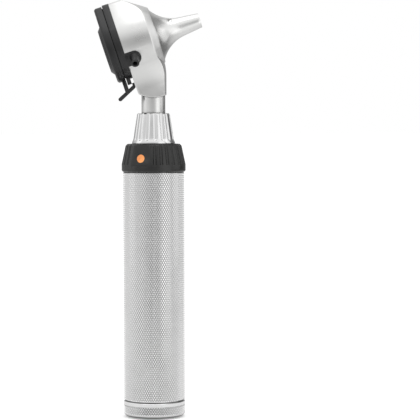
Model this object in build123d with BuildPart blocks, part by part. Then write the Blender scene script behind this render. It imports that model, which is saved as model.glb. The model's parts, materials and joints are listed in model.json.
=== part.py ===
from build123d import *
import os
from math import cos, radians, sin, sqrt, tan

# Otoscope: a viewing head with an ear cone and a swing-aside magnifier, on a knurled battery handle.
# Frame: millimetres, +Z up the handle, origin at the centre of the foot, +X the way the ear cone points.

# ---------------------------------------------------------------- driving dimensions
HANDLE_R = 15.0  # knurled tube and cap
TUBE_BORE_R = 13.6
CAP_Z = 0.6  # underside of the screw cap, just above the foot
CAP_TOP_Z = 8.1
TUBE_Z = 8.5
TUBE_TOP_Z = 120.6
RING_Z = 120.75  # dimmer ring
RING_TOP_Z = 134.4
CONNECTOR_Z = 134.6  # fluted connector of the head
CONNECTOR_TOP_Z = 149.4
HEAD_Z = 158.4  # lower edge of the head housing
SIGHT_Z = 187.2  # where the line of sight crosses the handle's axis
TILT = 18.3  # line of sight above the horizontal, degrees

DISC_R = 16.2  # round part of the head, around the line of sight
LOBE_R = 4.3  # small lobe above it, around the window's pivot
PIVOT_RISE = 17.4
TIP_W = 24.2  # stations along the line of sight, forward from the handle's axis
FACE_W = 1.8
SHOULDER_W = -9.5
PLATE_W = -16.0
SEAM_W = -19.3
FRAME_W = -23.6
BEZEL_W = -25.05

SLIP = 0.05  # radial clearance of a running fit
GAP = 0.02  # clearance between fixed neighbours

sight = Plane(
    origin=(0, 0, SIGHT_Z),
    x_dir=(-sin(radians(TILT)), 0, cos(radians(TILT))),
    z_dir=(cos(radians(TILT)), 0, sin(radians(TILT))),
)  # local x is up the head, local y is the side with the air nozzle, local z is forward
section = Plane(origin=sight.origin, x_dir=sight.z_dir, z_dir=(0, -1, 0))  # (forward, up), in the middle
sight_axis = Axis(sight.origin, sight.z_dir)
nozzle_side = Plane(origin=sight.origin, x_dir=sight.z_dir, z_dir=sight.y_dir)


def half_profile(plane, points):
    """Closed polygon on a plane, ready to revolve."""
    with BuildSketch(plane) as sketch:
        with BuildLine():
            Polyline(*points, close=True)
        make_face()
    return sketch.sketch


def teardrop(disc_r, lobe_r):
    """The head's outline seen from behind: a disc and the smaller pivot lobe above it."""
    with BuildSketch() as outline:
        Circle(disc_r)
        with Locations((PIVOT_RISE, 0)):
            Circle(lobe_r)
        make_hull()
    return outline.sketch


def coil(radius, wire_r, z, height, turns):
    """Compression spring as one swept wire, its lowest point at z."""
    with BuildPart() as spring:
        with BuildLine(Plane.XY.offset(z + wire_r)) as path:
            Helix(pitch=(height - 2 * wire_r) / turns, height=height - 2 * wire_r, radius=radius)
        with BuildSketch(Plane(origin=path.line @ 0, z_dir=path.line % 0)):
            Circle(wire_r)
        sweep(is_frenet=True)
    return spring


# ================================================================ handle
# ---------------------------------------------------------------- tube
with BuildPart() as handle_tube:
    revolve(half_profile(Plane.XZ, [
        (TUBE_BORE_R, TUBE_Z), (HANDLE_R - 0.3, TUBE_Z), (HANDLE_R, TUBE_Z + 0.3),
        (HANDLE_R, TUBE_TOP_Z - 0.3), (HANDLE_R - 0.3, TUBE_TOP_Z), (TUBE_BORE_R, TUBE_TOP_Z),
    ]))
handle_tube.part.label = "handle_tube"

# ---------------------------------------------------------------- screw cap, turns round the insert
CAP_ROUND = 1.6
CAP_SPIGOT_TOP_Z = 13.0
CAP_HOLE_R = 7.65
INSERT_FLANGE_R = 11.1
INSERT_FLANGE_Z = 3.0

with BuildPart() as bottom_cap:
    revolve(half_profile(Plane.XZ, [
        (CAP_HOLE_R, CAP_Z), (HANDLE_R, CAP_Z), (HANDLE_R, CAP_TOP_Z - 0.35), (HANDLE_R - 0.35, CAP_TOP_Z),
        (TUBE_BORE_R - SLIP, CAP_TOP_Z), (TUBE_BORE_R - SLIP, CAP_SPIGOT_TOP_Z - 0.4),
        (TUBE_BORE_R - SLIP - 0.4, CAP_SPIGOT_TOP_Z), (INSERT_FLANGE_R + SLIP, CAP_SPIGOT_TOP_Z),
        (INSERT_FLANGE_R + SLIP, INSERT_FLANGE_Z), (CAP_HOLE_R, INSERT_FLANGE_Z),
    ]))
    rim = bottom_cap.edges().filter_by(GeomType.CIRCLE).group_by(Axis.Z)[0].sort_by(SortBy.RADIUS)[-1]
    fillet(rim, CAP_ROUND)
bottom_cap.part.label = "bottom_cap"

with BuildPart() as cap_retainer:  # snap ring that keeps the insert's flange in the cap
    with BuildSketch(Plane.XY.offset(INSERT_FLANGE_Z + 2.1)):
        Circle(INSERT_FLANGE_R + SLIP)
        Circle(9.6, mode=Mode.SUBTRACT)
    extrude(amount=0.8)
cap_retainer.part.label = "cap_retainer"

# ---------------------------------------------------------------- charging insert with its socket and board
INSERT_R = CAP_HOLE_R - SLIP
INSERT_TOP_Z = 10.0
SOCKET_X, SOCKET_Y = 7.6, 2.9
SOCKET_TOP_Z = 6.2

with BuildPart() as charging_insert:
    revolve(half_profile(Plane.XZ, [
        (0, 0), (INSERT_R - 0.4, 0), (INSERT_R, 0.4), (INSERT_R, INSERT_FLANGE_Z + SLIP),
        (INSERT_FLANGE_R, INSERT_FLANGE_Z + SLIP), (INSERT_FLANGE_R, INSERT_FLANGE_Z + 2.0),
        (9.2, INSERT_FLANGE_Z + 2.0), (9.2, INSERT_TOP_Z), (0, INSERT_TOP_Z),
    ]))
    with BuildSketch(Plane.XY):
        RectangleRounded(SOCKET_X + 2 * GAP, SOCKET_Y + 2 * GAP, 0.9)
    extrude(amount=SOCKET_TOP_Z, mode=Mode.SUBTRACT)
    with BuildSketch(Plane.XY.offset(SOCKET_TOP_Z)):  # pocket for the charging board, open at the top
        Circle(8.0)
    extrude(amount=INSERT_TOP_Z - SOCKET_TOP_Z, mode=Mode.SUBTRACT)
    with BuildSketch(Plane.XY):  # hole for the status light
        with Locations((0, 4.6)):
            Circle(0.9)
    extrude(amount=SOCKET_TOP_Z, mode=Mode.SUBTRACT)
charging_insert.part.label = "charging_insert"

with BuildPart() as usb_socket:
    with BuildSketch(Plane.XY.offset(0.3)):
        RectangleRounded(SOCKET_X, SOCKET_Y, 0.88)
        RectangleRounded(SOCKET_X - 0.6, SOCKET_Y - 0.6, 0.6, mode=Mode.SUBTRACT)
    extrude(amount=SOCKET_TOP_Z - 0.3)
    with BuildSketch(Plane.XY.offset(SOCKET_TOP_Z - 0.6)):
        RectangleRounded(SOCKET_X, SOCKET_Y, 0.88)
    extrude(amount=0.6)
    with BuildSketch(Plane.XY.offset(1.4)):
        Rectangle(4.6, 0.6)
    extrude(amount=SOCKET_TOP_Z - 1.4)
usb_socket.part.label = "usb_socket"

with BuildPart() as status_light_pipe:
    with BuildSketch(Plane.XY.offset(0.05)):
        with Locations((0, 4.6)):
            Circle(0.88)
    extrude(amount=SOCKET_TOP_Z - 0.05)
status_light_pipe.part.label = "status_light_pipe"

with BuildPart() as charging_board:
    with BuildSketch(Plane.XY.offset(SOCKET_TOP_Z)):
        Circle(7.9)
    extrude(amount=1.2)
    with BuildSketch(Plane.XY.offset(SOCKET_TOP_Z + 1.2)):
        with GridLocations(6.4, 6.0, 2, 2):
            Rectangle(2.6, 1.8)
    extrude(amount=0.9)
charging_board.part.label = "charging_board"

BATTERY_Z = 16.6
SPRING_Z = SOCKET_TOP_Z + 2.2
battery_spring = coil(radius=5.4, wire_r=0.4, z=SPRING_Z, height=BATTERY_Z - SPRING_Z - 0.05, turns=4)
battery_spring.part.label = "battery_spring"

# ---------------------------------------------------------------- cell
CELL_R = 13.0
CELL_LENGTH = 68.0

CELL_TOP_Z = BATTERY_Z + CELL_LENGTH

with BuildPart() as battery:
    revolve(half_profile(Plane.XZ, [
        (0, BATTERY_Z), (CELL_R - 0.5, BATTERY_Z), (CELL_R, BATTERY_Z + 0.5),
        (CELL_R, CELL_TOP_Z - 0.8), (CELL_R - 0.8, CELL_TOP_Z),
        (4.0, CELL_TOP_Z), (4.0, CELL_TOP_Z + 1.5), (0, CELL_TOP_Z + 1.5),
    ]))
battery.part.label = "battery"

# ---------------------------------------------------------------- driver electronics above the cell
CARRIER_Z = CELL_TOP_Z + 2.2
BOARD_Z = 104.0

with BuildPart() as board_carrier:
    revolve(half_profile(Plane.XZ, [
        (4.6, CARRIER_Z), (TUBE_BORE_R - SLIP, CARRIER_Z), (TUBE_BORE_R - SLIP, BOARD_Z),
        (11.6, BOARD_Z), (11.6, CARRIER_Z + 2.5), (4.6, CARRIER_Z + 2.5),
    ]))
board_carrier.part.label = "board_carrier"

with BuildPart() as upper_contact:  # brass button that meets the cell's top
    revolve(half_profile(Plane.XZ, [
        (0, CARRIER_Z - 0.65), (2.2, CARRIER_Z - 0.65), (4.5, CARRIER_Z + 0.2), (4.5, CARRIER_Z + 2.5),
        (6.5, CARRIER_Z + 2.55), (6.5, CARRIER_Z + 3.2), (0, CARRIER_Z + 3.2),
    ]))
upper_contact.part.label = "upper_contact"

with BuildPart() as driver_board:
    with BuildSketch(Plane.XY.offset(BOARD_Z)):
        Circle(12.8)
    extrude(amount=1.4)
    with BuildSketch(Plane.XY.offset(BOARD_Z + 1.4)):
        with PolarLocations(6.5, 4, start_angle=45):
            Rectangle(4.0, 3.2)
    extrude(amount=1.1)
driver_board.part.label = "driver_board"

# ---------------------------------------------------------------- collar in the top of the tube
COLLAR_R = 11.5
COLLAR_SPIGOT_Z = 107.5
COLLAR_FLANGE_Z = 122.2
COLLAR_TOP_Z = 133.9
NOSE_R = 6.9
NOSE_FLANGE_R = 8.9
NOSE_FLANGE_Z = 129.9
CLIP_Z = 132.4
CLIP_GROOVE_R = 10.7
RING_TRAVEL = 110.0  # degrees from off to full light
STOP_ANGLE = 200.0
STOP_Z = 127.0
stop_plane = Plane(origin=(0, 0, STOP_Z), z_dir=(cos(radians(STOP_ANGLE)), sin(radians(STOP_ANGLE)), 0))

with BuildPart() as handle_collar:
    revolve(half_profile(Plane.XZ, [
        (9.4, COLLAR_SPIGOT_Z), (TUBE_BORE_R - GAP, COLLAR_SPIGOT_Z), (TUBE_BORE_R - GAP, TUBE_TOP_Z),
        (14.6, TUBE_TOP_Z), (14.6, COLLAR_FLANGE_Z), (COLLAR_R, COLLAR_FLANGE_Z), (COLLAR_R, CLIP_Z),
        (CLIP_GROOVE_R, CLIP_Z), (CLIP_GROOVE_R, CLIP_Z + 0.8), (COLLAR_R, CLIP_Z + 0.8),
        (COLLAR_R, COLLAR_TOP_Z - 0.3), (COLLAR_R - 0.3, COLLAR_TOP_Z), (NOSE_R + GAP, COLLAR_TOP_Z),
        (NOSE_R + GAP, NOSE_FLANGE_Z + 2.0), (9.4, NOSE_FLANGE_Z + 2.0),
    ]))
    with Locations(stop_plane):
        Cylinder(0.8, 14, align=(Align.CENTER, Align.CENTER, Align.MIN), mode=Mode.SUBTRACT)
handle_collar.part.label = "handle_collar"

with BuildPart() as stop_pin:  # pin in the collar that limits the ring's turn
    with Locations(stop_plane):
        Cylinder(0.78, 12.3, align=(Align.CENTER, Align.CENTER, Align.MIN))
        Cylinder(0.9, 9.6, align=(Align.CENTER, Align.CENTER, Align.MIN), mode=Mode.SUBTRACT)
stop_pin.part.label = "stop_pin"

with BuildPart() as retaining_clip:
    with BuildSketch(Plane.XY.offset(CLIP_Z + GAP)):
        Circle(12.4)
        Circle(CLIP_GROOVE_R + GAP, mode=Mode.SUBTRACT)
        with Locations((12.0, 0)):
            Rectangle(6.0, 3.0, mode=Mode.SUBTRACT)
    extrude(amount=0.8 - 2 * GAP)
retaining_clip.part.label = "retaining_clip"

with BuildPart() as dimmer_track:  # printed resistance track the ring's wiper runs on
    with BuildSketch(Plane.XY.offset(COLLAR_FLANGE_Z)):
        Circle(14.4)
        Circle(COLLAR_R + GAP, mode=Mode.SUBTRACT)
    extrude(amount=0.5)
dimmer_track.part.label = "dimmer_track"

# ---------------------------------------------------------------- dimmer ring
RING_R = 15.7
RING_TOP_R = 13.75
RING_BAND_Z = 124.4
RING_TAPER = (RING_R - RING_TOP_R) / (RING_TOP_Z - RING_BAND_Z)
RING_BORE_R = COLLAR_R + SLIP
PAD_ANGLE = 244.0  # the smooth pad faces the nozzle side, a little to the rear
PAD_HALF_ANGLE = 19.0
PAD_FREE_ANGLE = 28.0
GROOVES = 26
GROOVE_R = 0.85
DOT_Z = 127.4
DOT_R = 2.0

pad_out = (cos(radians(PAD_ANGLE)), sin(radians(PAD_ANGLE)))
pad_flat_r = (RING_R - RING_TAPER * (DOT_Z - RING_BAND_Z)) * cos(radians(PAD_HALF_ANGLE))
pad_plane = Plane(
    origin=(pad_flat_r * pad_out[0], pad_flat_r * pad_out[1], DOT_Z),
    x_dir=(-pad_out[1], pad_out[0], 0),
    z_dir=(pad_out[0], pad_out[1], RING_TAPER),
)  # the pad's flat, leaning in with the ring's taper

with BuildPart() as dimmer_ring:
    revolve(half_profile(Plane.XZ, [
        (14.75, RING_Z), (RING_R - 0.6, RING_Z), (RING_R, RING_Z + 0.6), (RING_R, RING_BAND_Z),
        (RING_TOP_R, RING_TOP_Z - 0.9), (RING_TOP_R - 0.9, RING_TOP_Z), (12.45, RING_TOP_Z),
        (12.45, CLIP_Z - 0.05), (RING_BORE_R, CLIP_Z - 0.05), (RING_BORE_R, 124.2), (14.75, 124.2),
    ]))
    with PolarLocations(0, GROOVES, start_angle=PAD_ANGLE + PAD_FREE_ANGLE,
                        angular_range=360 - 2 * PAD_FREE_ANGLE, endpoint=True):
        with Locations(Plane(
            origin=(RING_R + 0.15, 0, RING_BAND_Z),
            z_dir=(-RING_TAPER, 0, 1),
        )):
            Cylinder(GROOVE_R, 14, align=(Align.CENTER, Align.CENTER, Align.MIN), mode=Mode.SUBTRACT)
    with BuildSketch(pad_plane):
        with Locations((0, 2.2)):
            Rectangle(20, 12)
    extrude(amount=4, mode=Mode.SUBTRACT)
    with BuildSketch(pad_plane):
        Circle(DOT_R + GAP)
    extrude(amount=-0.5, mode=Mode.SUBTRACT)
    with BuildSketch(Plane.XY.offset(STOP_Z - 0.9)):  # arc slot for the stop pin
        Circle(12.6)
        with BuildLine():
            stop_a = radians(STOP_ANGLE - 6)
            stop_b = radians(STOP_ANGLE + 6 + RING_TRAVEL)
            Polyline(
                (0, 0), (30 * cos(stop_a), 30 * sin(stop_a)),
                (40 * cos((stop_a + stop_b) / 2), 40 * sin((stop_a + stop_b) / 2)),
                (30 * cos(stop_b), 30 * sin(stop_b)), close=True,
            )
        make_face(mode=Mode.INTERSECT)
    extrude(amount=1.8, mode=Mode.SUBTRACT)
dimmer_ring.part.label = "dimmer_ring"

with BuildPart() as index_dot:
    with BuildSketch(pad_plane.offset(-0.48)):
        Circle(DOT_R)
    extrude(amount=0.5)
index_dot.part.label = "index_dot"

with BuildPart() as dimmer_wiper:  # brass finger under the ring
    with BuildSketch(Plane.XY.offset(COLLAR_FLANGE_Z + 0.55)):
        with Locations((13.1, 0)):
            Rectangle(1.6, 3.0)
    extrude(amount=124.2 - COLLAR_FLANGE_Z - 0.57)
dimmer_wiper.part.label = "dimmer_wiper"

# ---------------------------------------------------------------- bayonet nose and sprung contact
NOSE_TOP_Z = 146.0
NOSE_BORE_R = 4.8
LUG_Z = 141.0
LUG_R = 0.9
LUG_REACH = 7.85
CONTACT_R = 1.6
CONTACT_TOP_Z = 146.6
CONTACT_STOP_Z = 140.0

with BuildPart() as bayonet_nose:
    revolve(half_profile(Plane.XZ, [
        (NOSE_BORE_R, NOSE_FLANGE_Z), (NOSE_FLANGE_R, NOSE_FLANGE_Z), (NOSE_FLANGE_R, NOSE_FLANGE_Z + 2.0),
        (NOSE_R, NOSE_FLANGE_Z + 2.0), (NOSE_R, NOSE_TOP_Z - 0.5), (NOSE_R - 0.5, NOSE_TOP_Z),
        (NOSE_BORE_R, NOSE_TOP_Z),
    ]))
    with PolarLocations(0, 2):
        with Locations(Plane(origin=(0, 0, LUG_Z), z_dir=(1, 0, 0))):
            Cylinder(LUG_R, 9, align=(Align.CENTER, Align.CENTER, Align.MIN), mode=Mode.SUBTRACT)
bayonet_nose.part.label = "bayonet_nose"

with BuildPart() as bayonet_pins:
    with PolarLocations(0, 2):
        with Locations(Plane(origin=(NOSE_BORE_R + GAP + 0.1, 0, LUG_Z), z_dir=(1, 0, 0))):
            Cylinder(LUG_R - GAP, LUG_REACH - NOSE_BORE_R - GAP - 0.1,
                     align=(Align.CENTER, Align.CENTER, Align.MIN))
bayonet_pins.part.label = "bayonet_pins"

with BuildPart() as nose_nut:
    with BuildSketch(Plane.XY.offset(NOSE_FLANGE_Z - 2.6)):
        Circle(9.4 - GAP)
        RegularPolygon(6.4, 6, mode=Mode.SUBTRACT)
    extrude(amount=2.6)
nose_nut.part.label = "nose_nut"

with BuildPart() as contact_bush:
    revolve(half_profile(Plane.XZ, [
        (3.3, 129.0), (NOSE_BORE_R - GAP, 129.0), (NOSE_BORE_R - GAP, NOSE_TOP_Z - 0.3),
        (CONTACT_R + SLIP, NOSE_TOP_Z - 0.3), (CONTACT_R + SLIP, CONTACT_STOP_Z), (3.3, CONTACT_STOP_Z),
    ]))
contact_bush.part.label = "contact_bush"

with BuildPart() as contact_plug:
    revolve(half_profile(Plane.XZ, [
        (0, 127.6), (NOSE_BORE_R - GAP, 127.6), (NOSE_BORE_R - GAP, 129.0),
        (3.2, 129.0), (3.2, 129.8), (0, 129.8),
    ]))
contact_plug.part.label = "contact_plug"

with BuildPart() as contact_pin:
    revolve(half_profile(Plane.XZ, [
        (0, 134.0), (1.2, 134.0), (1.2, 138.4), (3.2, 138.4), (3.2, CONTACT_STOP_Z - 0.1),
        (CONTACT_R, CONTACT_STOP_Z - 0.1), (CONTACT_R, CONTACT_TOP_Z - 0.8),
        (0.9, CONTACT_TOP_Z), (0, CONTACT_TOP_Z),
    ]))
contact_pin.part.label = "contact_pin"

contact_spring = coil(radius=2.3, wire_r=0.3, z=129.85, height=138.35 - 129.85, turns=6)
contact_spring.part.label = "contact_spring"

# ================================================================ head
# ---------------------------------------------------------------- fluted connector that drops over the nose
FLANGE_R = 10.6
FLUTE_Z = 137.3
CONE_R = 9.85  # at the lower end of the flutes
CONE_TOP_R = 8.0
FLUTES = 16
FLUTE_R = 1.55
FLUTE_DEPTH = 0.42
CONE_TAPER = (CONE_R - CONE_TOP_R) / (CONNECTOR_TOP_Z - FLUTE_Z)
SOCKET_R = NOSE_R + 0.08
SLOT_R = 8.05
TWIST = 35.0  # degrees from locked to free
NECK_R = 5.83
NECK_BORE_R = 4.6

with BuildPart() as connector:
    revolve(half_profile(Plane.XZ, [
        (SOCKET_R, CONNECTOR_Z), (FLANGE_R, CONNECTOR_Z), (FLANGE_R, CONNECTOR_Z + 0.4),
        (CONE_R + 0.12, FLUTE_Z - 0.6),
        (CONE_R, FLUTE_Z), (CONE_TOP_R, CONNECTOR_TOP_Z - 0.5), (CONE_TOP_R - 0.5, CONNECTOR_TOP_Z),
        (NECK_R + GAP, CONNECTOR_TOP_Z), (NECK_R + GAP, NOSE_TOP_Z + 0.3), (SOCKET_R, NOSE_TOP_Z + 0.3),
    ]))
    with PolarLocations(0, FLUTES, start_angle=-85.5):
        with Locations(Plane(
            origin=(CONE_R + FLUTE_R - FLUTE_DEPTH, 0, FLUTE_Z),
            z_dir=(-CONE_TAPER, 0, 1),
        )):
            Cylinder(FLUTE_R, 14, align=(Align.CENTER, Align.CENTER, Align.MIN), mode=Mode.SUBTRACT)
            Sphere(FLUTE_R, mode=Mode.SUBTRACT)
    # bayonet slots: up from the mouth, then round to where the pins rest when locked
    for side in (0, 180):
        with BuildSketch(Plane.XY.offset(LUG_Z - LUG_R - 0.1)):
            with BuildLine():
                slot_a = radians(side - TWIST - 8)
                slot_b = radians(side + 8)
                slot_mid = radians(side - TWIST / 2)
                outer = ThreePointArc(
                    (SLOT_R * cos(slot_a), SLOT_R * sin(slot_a)),
                    (SLOT_R * cos(slot_mid), SLOT_R * sin(slot_mid)),
                    (SLOT_R * cos(slot_b), SLOT_R * sin(slot_b)),
                )
                Polyline(outer @ 1, (0, 0), outer @ 0)
            make_face()
        extrude(amount=2 * LUG_R + 0.2, mode=Mode.SUBTRACT)
        with BuildSketch(Plane.XY.offset(CONNECTOR_Z)):
            with Locations(Location((0, 0, 0), (0, 0, side - TWIST))):
                with Locations((4.0, 0)):
                    Rectangle(8.0, 2 * LUG_R + 0.3)
        extrude(amount=LUG_Z - CONNECTOR_Z, mode=Mode.SUBTRACT)
connector.part.label = "connector"

# ---------------------------------------------------------------- neck tube and lamp
NECK_TOP_Z = 167.0

with BuildPart() as neck_tube:
    with BuildSketch(Plane.XY.offset(NOSE_TOP_Z + 0.4)):
        Circle(NECK_R)
        Circle(NECK_BORE_R, mode=Mode.SUBTRACT)
    extrude(amount=NECK_TOP_Z - NOSE_TOP_Z - 0.4)
neck_tube.part.label = "neck_tube"

with BuildPart() as lamp_module:
    revolve(half_profile(Plane.XZ, [
        (0, CONTACT_TOP_Z + 0.4), (NECK_BORE_R - GAP, CONTACT_TOP_Z + 0.4), (NECK_BORE_R - GAP, 152.0),
        (3.6, 152.0), (3.6, 153.0), (NECK_BORE_R - GAP, 153.0), (NECK_BORE_R - GAP, 157.0),
        (3.6, 157.0), (3.6, 158.0), (NECK_BORE_R - GAP, 158.0), (NECK_BORE_R - GAP, 163.6), (0, 163.6),
    ]))
lamp_module.part.label = "lamp_module"

with BuildPart() as lamp_contact:  # the module's lower terminal, an insulated brass disc
    with BuildSketch(Plane.XY.offset(CONTACT_TOP_Z + 0.05)):
        Circle(2.0)
    extrude(amount=0.35)
lamp_contact.part.label = "lamp_contact"

with BuildPart() as led:
    revolve(half_profile(Plane.XZ, [
        (0, 163.6), (2.4, 163.6), (2.4, 164.2), (1.4, 164.2), (1.4, 164.9), (0.8, 165.5), (0, 165.7),
    ]))
led.part.label = "led"

# ---------------------------------------------------------------- housing
RIM_DIP = 1.3  # the trunk's lower rim dips in an arc at the front and the back
RIM_LOW_Z = HEAD_Z - RIM_DIP
RIM_ROUND = 0.4
TRUNK_X = 6.45  # half length of the rim, along +X
TRUNK_HALF = 7.05  # half width of the trunk, from side to side
TRUNK_LEAVE = 42.0  # degrees below the disc's middle where the trunk leaves it
TRUNK_SINK = 0.05  # it starts just inside the disc, so that the two overlap
TRUNK_FRONT_R = 28.0  # the front is gently domed
TRUNK_DOME_Z = 167.4  # below this height the front is upright
TRUNK_REAR_LEAN = 21.8  # degrees from upright
TRUNK_CORNER = 0.7
TRUNK_FOOT = -32.0  # its outline is drawn past the rim, and past the disc, then cut to these
TRUNK_TOP_Z = 182.0
RIM_BEND_R = (TRUNK_X**2 + RIM_DIP**2) / (2 * RIM_DIP)
CHAMBER_R = 12.6
FACE_R = 13.9
CREST_ROUND = 0.8
SPIGOT_R = 12.0
PORT_RISE = -7.6  # the air nozzle's place on the side
PORT_W = -12.0
PORT_HALF = 3.3
TONGUE_IN_R = 13.6
SCREW_R = 14.6
SCREW_ANGLES = (62, 180, 298)


def port_tongue(half, inner_r, outer_r):
    """Round-ended tongue that wraps the disc from the rear plate forward to the air nozzle."""
    with BuildPart() as tongue:
        with BuildSketch(nozzle_side):
            with Locations((PORT_W, PORT_RISE)):
                Circle(half)
            with Locations((PORT_W, PORT_RISE)):
                Rectangle(PORT_W - PLATE_W, 2 * half, align=(Align.MAX, Align.CENTER))
        extrude(amount=DISC_R + 4)
        with Locations(sight.offset(PLATE_W)):
            Cylinder(outer_r, 20, align=(Align.CENTER, Align.CENTER, Align.MIN), mode=Mode.INTERSECT)
            Cylinder(inner_r, 20, align=(Align.CENTER, Align.CENTER, Align.MIN), mode=Mode.SUBTRACT)
    return tongue.part


def along_sight(radius, w_start, w_end, spots):
    """Cylinders parallel to the line of sight, at (up, side) spots."""
    with BuildPart() as pegs:
        with Locations(sight.offset(w_start)):
            with Locations(*spots):
                Cylinder(radius, w_end - w_start, align=(Align.CENTER, Align.CENTER, Align.MIN))
    return pegs.part


pivot_spot = [(PIVOT_RISE, 0)]
screw_spots = [(SCREW_R * cos(radians(a)), SCREW_R * sin(radians(a))) for a in SCREW_ANGLES]
AIR_R = 1.15
SCREW_TIP_W = -11.0

with BuildPart() as head_disc:
    with BuildSketch(sight.offset(PLATE_W)):
        add(teardrop(DISC_R, LOBE_R))
    extrude(amount=FACE_W - PLATE_W)
    top_r = PIVOT_RISE + LOBE_R
    revolve(half_profile(section, [
        (PLATE_W, 0), (PLATE_W, top_r + 1), (SHOULDER_W, top_r + 1), (SHOULDER_W, top_r),
        (FACE_W, FACE_R), (FACE_W, 0),
    ]), axis=sight_axis, mode=Mode.INTERSECT)
    crests = head_disc.edges().filter_by(GeomType.LINE, reverse=True)
    crests = crests.filter_by(lambda edge: sight.to_local_coords(edge.center()).Z > PLATE_W + 1)
    fillet(crests, CREST_ROUND)

leave_up = -DISC_R * sin(radians(TRUNK_LEAVE))
leave_side = DISC_R * cos(radians(TRUNK_LEAVE)) - TRUNK_SINK
waist_r = (leave_side - TRUNK_HALF) / (1 - cos(radians(TRUNK_LEAVE)))
waist_up = leave_up - waist_r * sin(radians(TRUNK_LEAVE))

with BuildPart() as trunk_dome:  # the trunk's front leans back above this height
    with Locations((TRUNK_X - TRUNK_FRONT_R, 0, TRUNK_DOME_Z)):
        Sphere(TRUNK_FRONT_R)
        Cylinder(TRUNK_FRONT_R, 20, align=(Align.CENTER, Align.CENTER, Align.MAX))

with BuildPart() as rim_arch:  # what is cut away below the arc of the rim
    with Locations((0, 0, RIM_LOW_Z)):
        Box(4 * TRUNK_X, 4 * TRUNK_X, 4 * RIM_DIP, align=(Align.CENTER, Align.CENTER, Align.MIN))
    with Locations(Location((0, 0, RIM_LOW_Z + RIM_BEND_R), (90, 0, 0))):
        Cylinder(RIM_BEND_R, 5 * TRUNK_X, mode=Mode.SUBTRACT)

with BuildPart() as trunk:  # waisted block between the disc and the neck
    with BuildSketch(sight.offset(PLATE_W)):
        with BuildLine():
            foot = Line((TRUNK_FOOT, TRUNK_HALF), (waist_up, TRUNK_HALF))
            waist = TangentArc(foot @ 1, (leave_up, leave_side), tangent=(1, 0))
            Polyline(waist @ 1, (leave_up, 0), (TRUNK_FOOT, 0), foot @ 0)
        make_face()
        mirror(about=Plane.XZ)
    extrude(amount=FACE_W - PLATE_W)
    with BuildSketch(Plane.XZ):
        with BuildLine():
            rear_top_x = -TRUNK_X - (TRUNK_TOP_Z - RIM_LOW_Z) * tan(radians(TRUNK_REAR_LEAN))
            Polyline((-TRUNK_X, RIM_LOW_Z), (TRUNK_X, RIM_LOW_Z), (TRUNK_X, TRUNK_TOP_Z),
                     (rear_top_x, TRUNK_TOP_Z), close=True)
        make_face()
    extrude(amount=DISC_R, both=True, mode=Mode.INTERSECT)
    sides = trunk.edges().filter_by(lambda edge: abs(edge.center().Y) > TRUNK_HALF - 0.1)
    rear_corners = sides.filter_by(lambda edge: edge.center().X < -TRUNK_X)
    fillet(rear_corners.filter_by(lambda edge: edge.center().Z < TRUNK_DOME_Z), TRUNK_CORNER)
    add(trunk_dome.part, mode=Mode.INTERSECT)
    add(rim_arch.part, mode=Mode.SUBTRACT)
    fillet(trunk.faces().sort_by(Axis.Z)[0].edges(), RIM_ROUND)

with BuildPart() as housing:
    add(trunk.part)
    add(head_disc.part)
    revolve(half_profile(section, [  # chamber behind the ear cone
        (PLATE_W, 0), (PLATE_W, CHAMBER_R), (-8.0, CHAMBER_R), (-4.2, 10.85), (-1.2, 10.85),
        (-1.2, SPIGOT_R + GAP), (FACE_W, SPIGOT_R + GAP), (FACE_W, 0),
    ]), axis=sight_axis, mode=Mode.SUBTRACT)
    with Locations((0, 0, HEAD_Z)):
        Cylinder(NECK_R + GAP, 2 * (NECK_TOP_Z - HEAD_Z), mode=Mode.SUBTRACT)
    with Locations((0, 0, NECK_TOP_Z)):
        Cylinder(3.6, 10, align=(Align.CENTER, Align.CENTER, Align.MIN), mode=Mode.SUBTRACT)
    add(along_sight(1.22, PLATE_W, SCREW_TIP_W, pivot_spot), mode=Mode.SUBTRACT)
    add(along_sight(0.97, PLATE_W, SCREW_TIP_W, screw_spots), mode=Mode.SUBTRACT)
    add(port_tongue(PORT_HALF + GAP, TONGUE_IN_R - GAP, DISC_R + 3), mode=Mode.SUBTRACT)
    with Locations(Location(nozzle_side)):
        with Locations((PORT_W, PORT_RISE, 8.0)):
            Cylinder(AIR_R, 6, align=(Align.CENTER, Align.CENTER, Align.MIN), mode=Mode.SUBTRACT)
housing.part.label = "housing"

# ---------------------------------------------------------------- rear plate with the air nozzle
PLATE_HOLE_R = 11.0
SEAL_R, SEAL_WIRE_R = 12.1, 0.55
TAB_BOTTOM = 19.0
TAB_HALF = 3.0
TAB_FRONT_W = -17.3
NOZZLE_R = 2.05
NOZZLE_LENGTH = 5.8
NOZZLE_AIM = (0.06, -0.857, -0.512)
port_side = sqrt(DISC_R**2 - PORT_RISE**2)
nozzle_plane = Plane(origin=sight.from_local_coords((PORT_RISE, port_side, PORT_W)), z_dir=NOZZLE_AIM)
nozzle_axis = Axis(nozzle_plane.origin, nozzle_plane.z_dir)

with BuildPart() as nozzle:
    with Locations(nozzle_plane):
        Cylinder(NOZZLE_R, NOZZLE_LENGTH + 3, align=(Align.CENTER, Align.CENTER, Align.MIN))
        Cone(NOZZLE_R + 0.5, NOZZLE_R, 1.2, align=(Align.CENTER, Align.CENTER, Align.MIN))
        Cylinder(NOZZLE_R, 3, align=(Align.CENTER, Align.CENTER, Align.MAX))
    split(bisect_by=nozzle_plane.offset(NOZZLE_LENGTH), keep=Keep.BOTTOM)
    chamfer(nozzle.edges().filter_by(GeomType.CIRCLE).sort_by(nozzle_axis)[-1], 0.25)
    with Locations(sight.offset(PLATE_W)):
        Cylinder(TONGUE_IN_R + 1, 20, align=(Align.CENTER, Align.CENTER, Align.MIN), mode=Mode.SUBTRACT)

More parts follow.
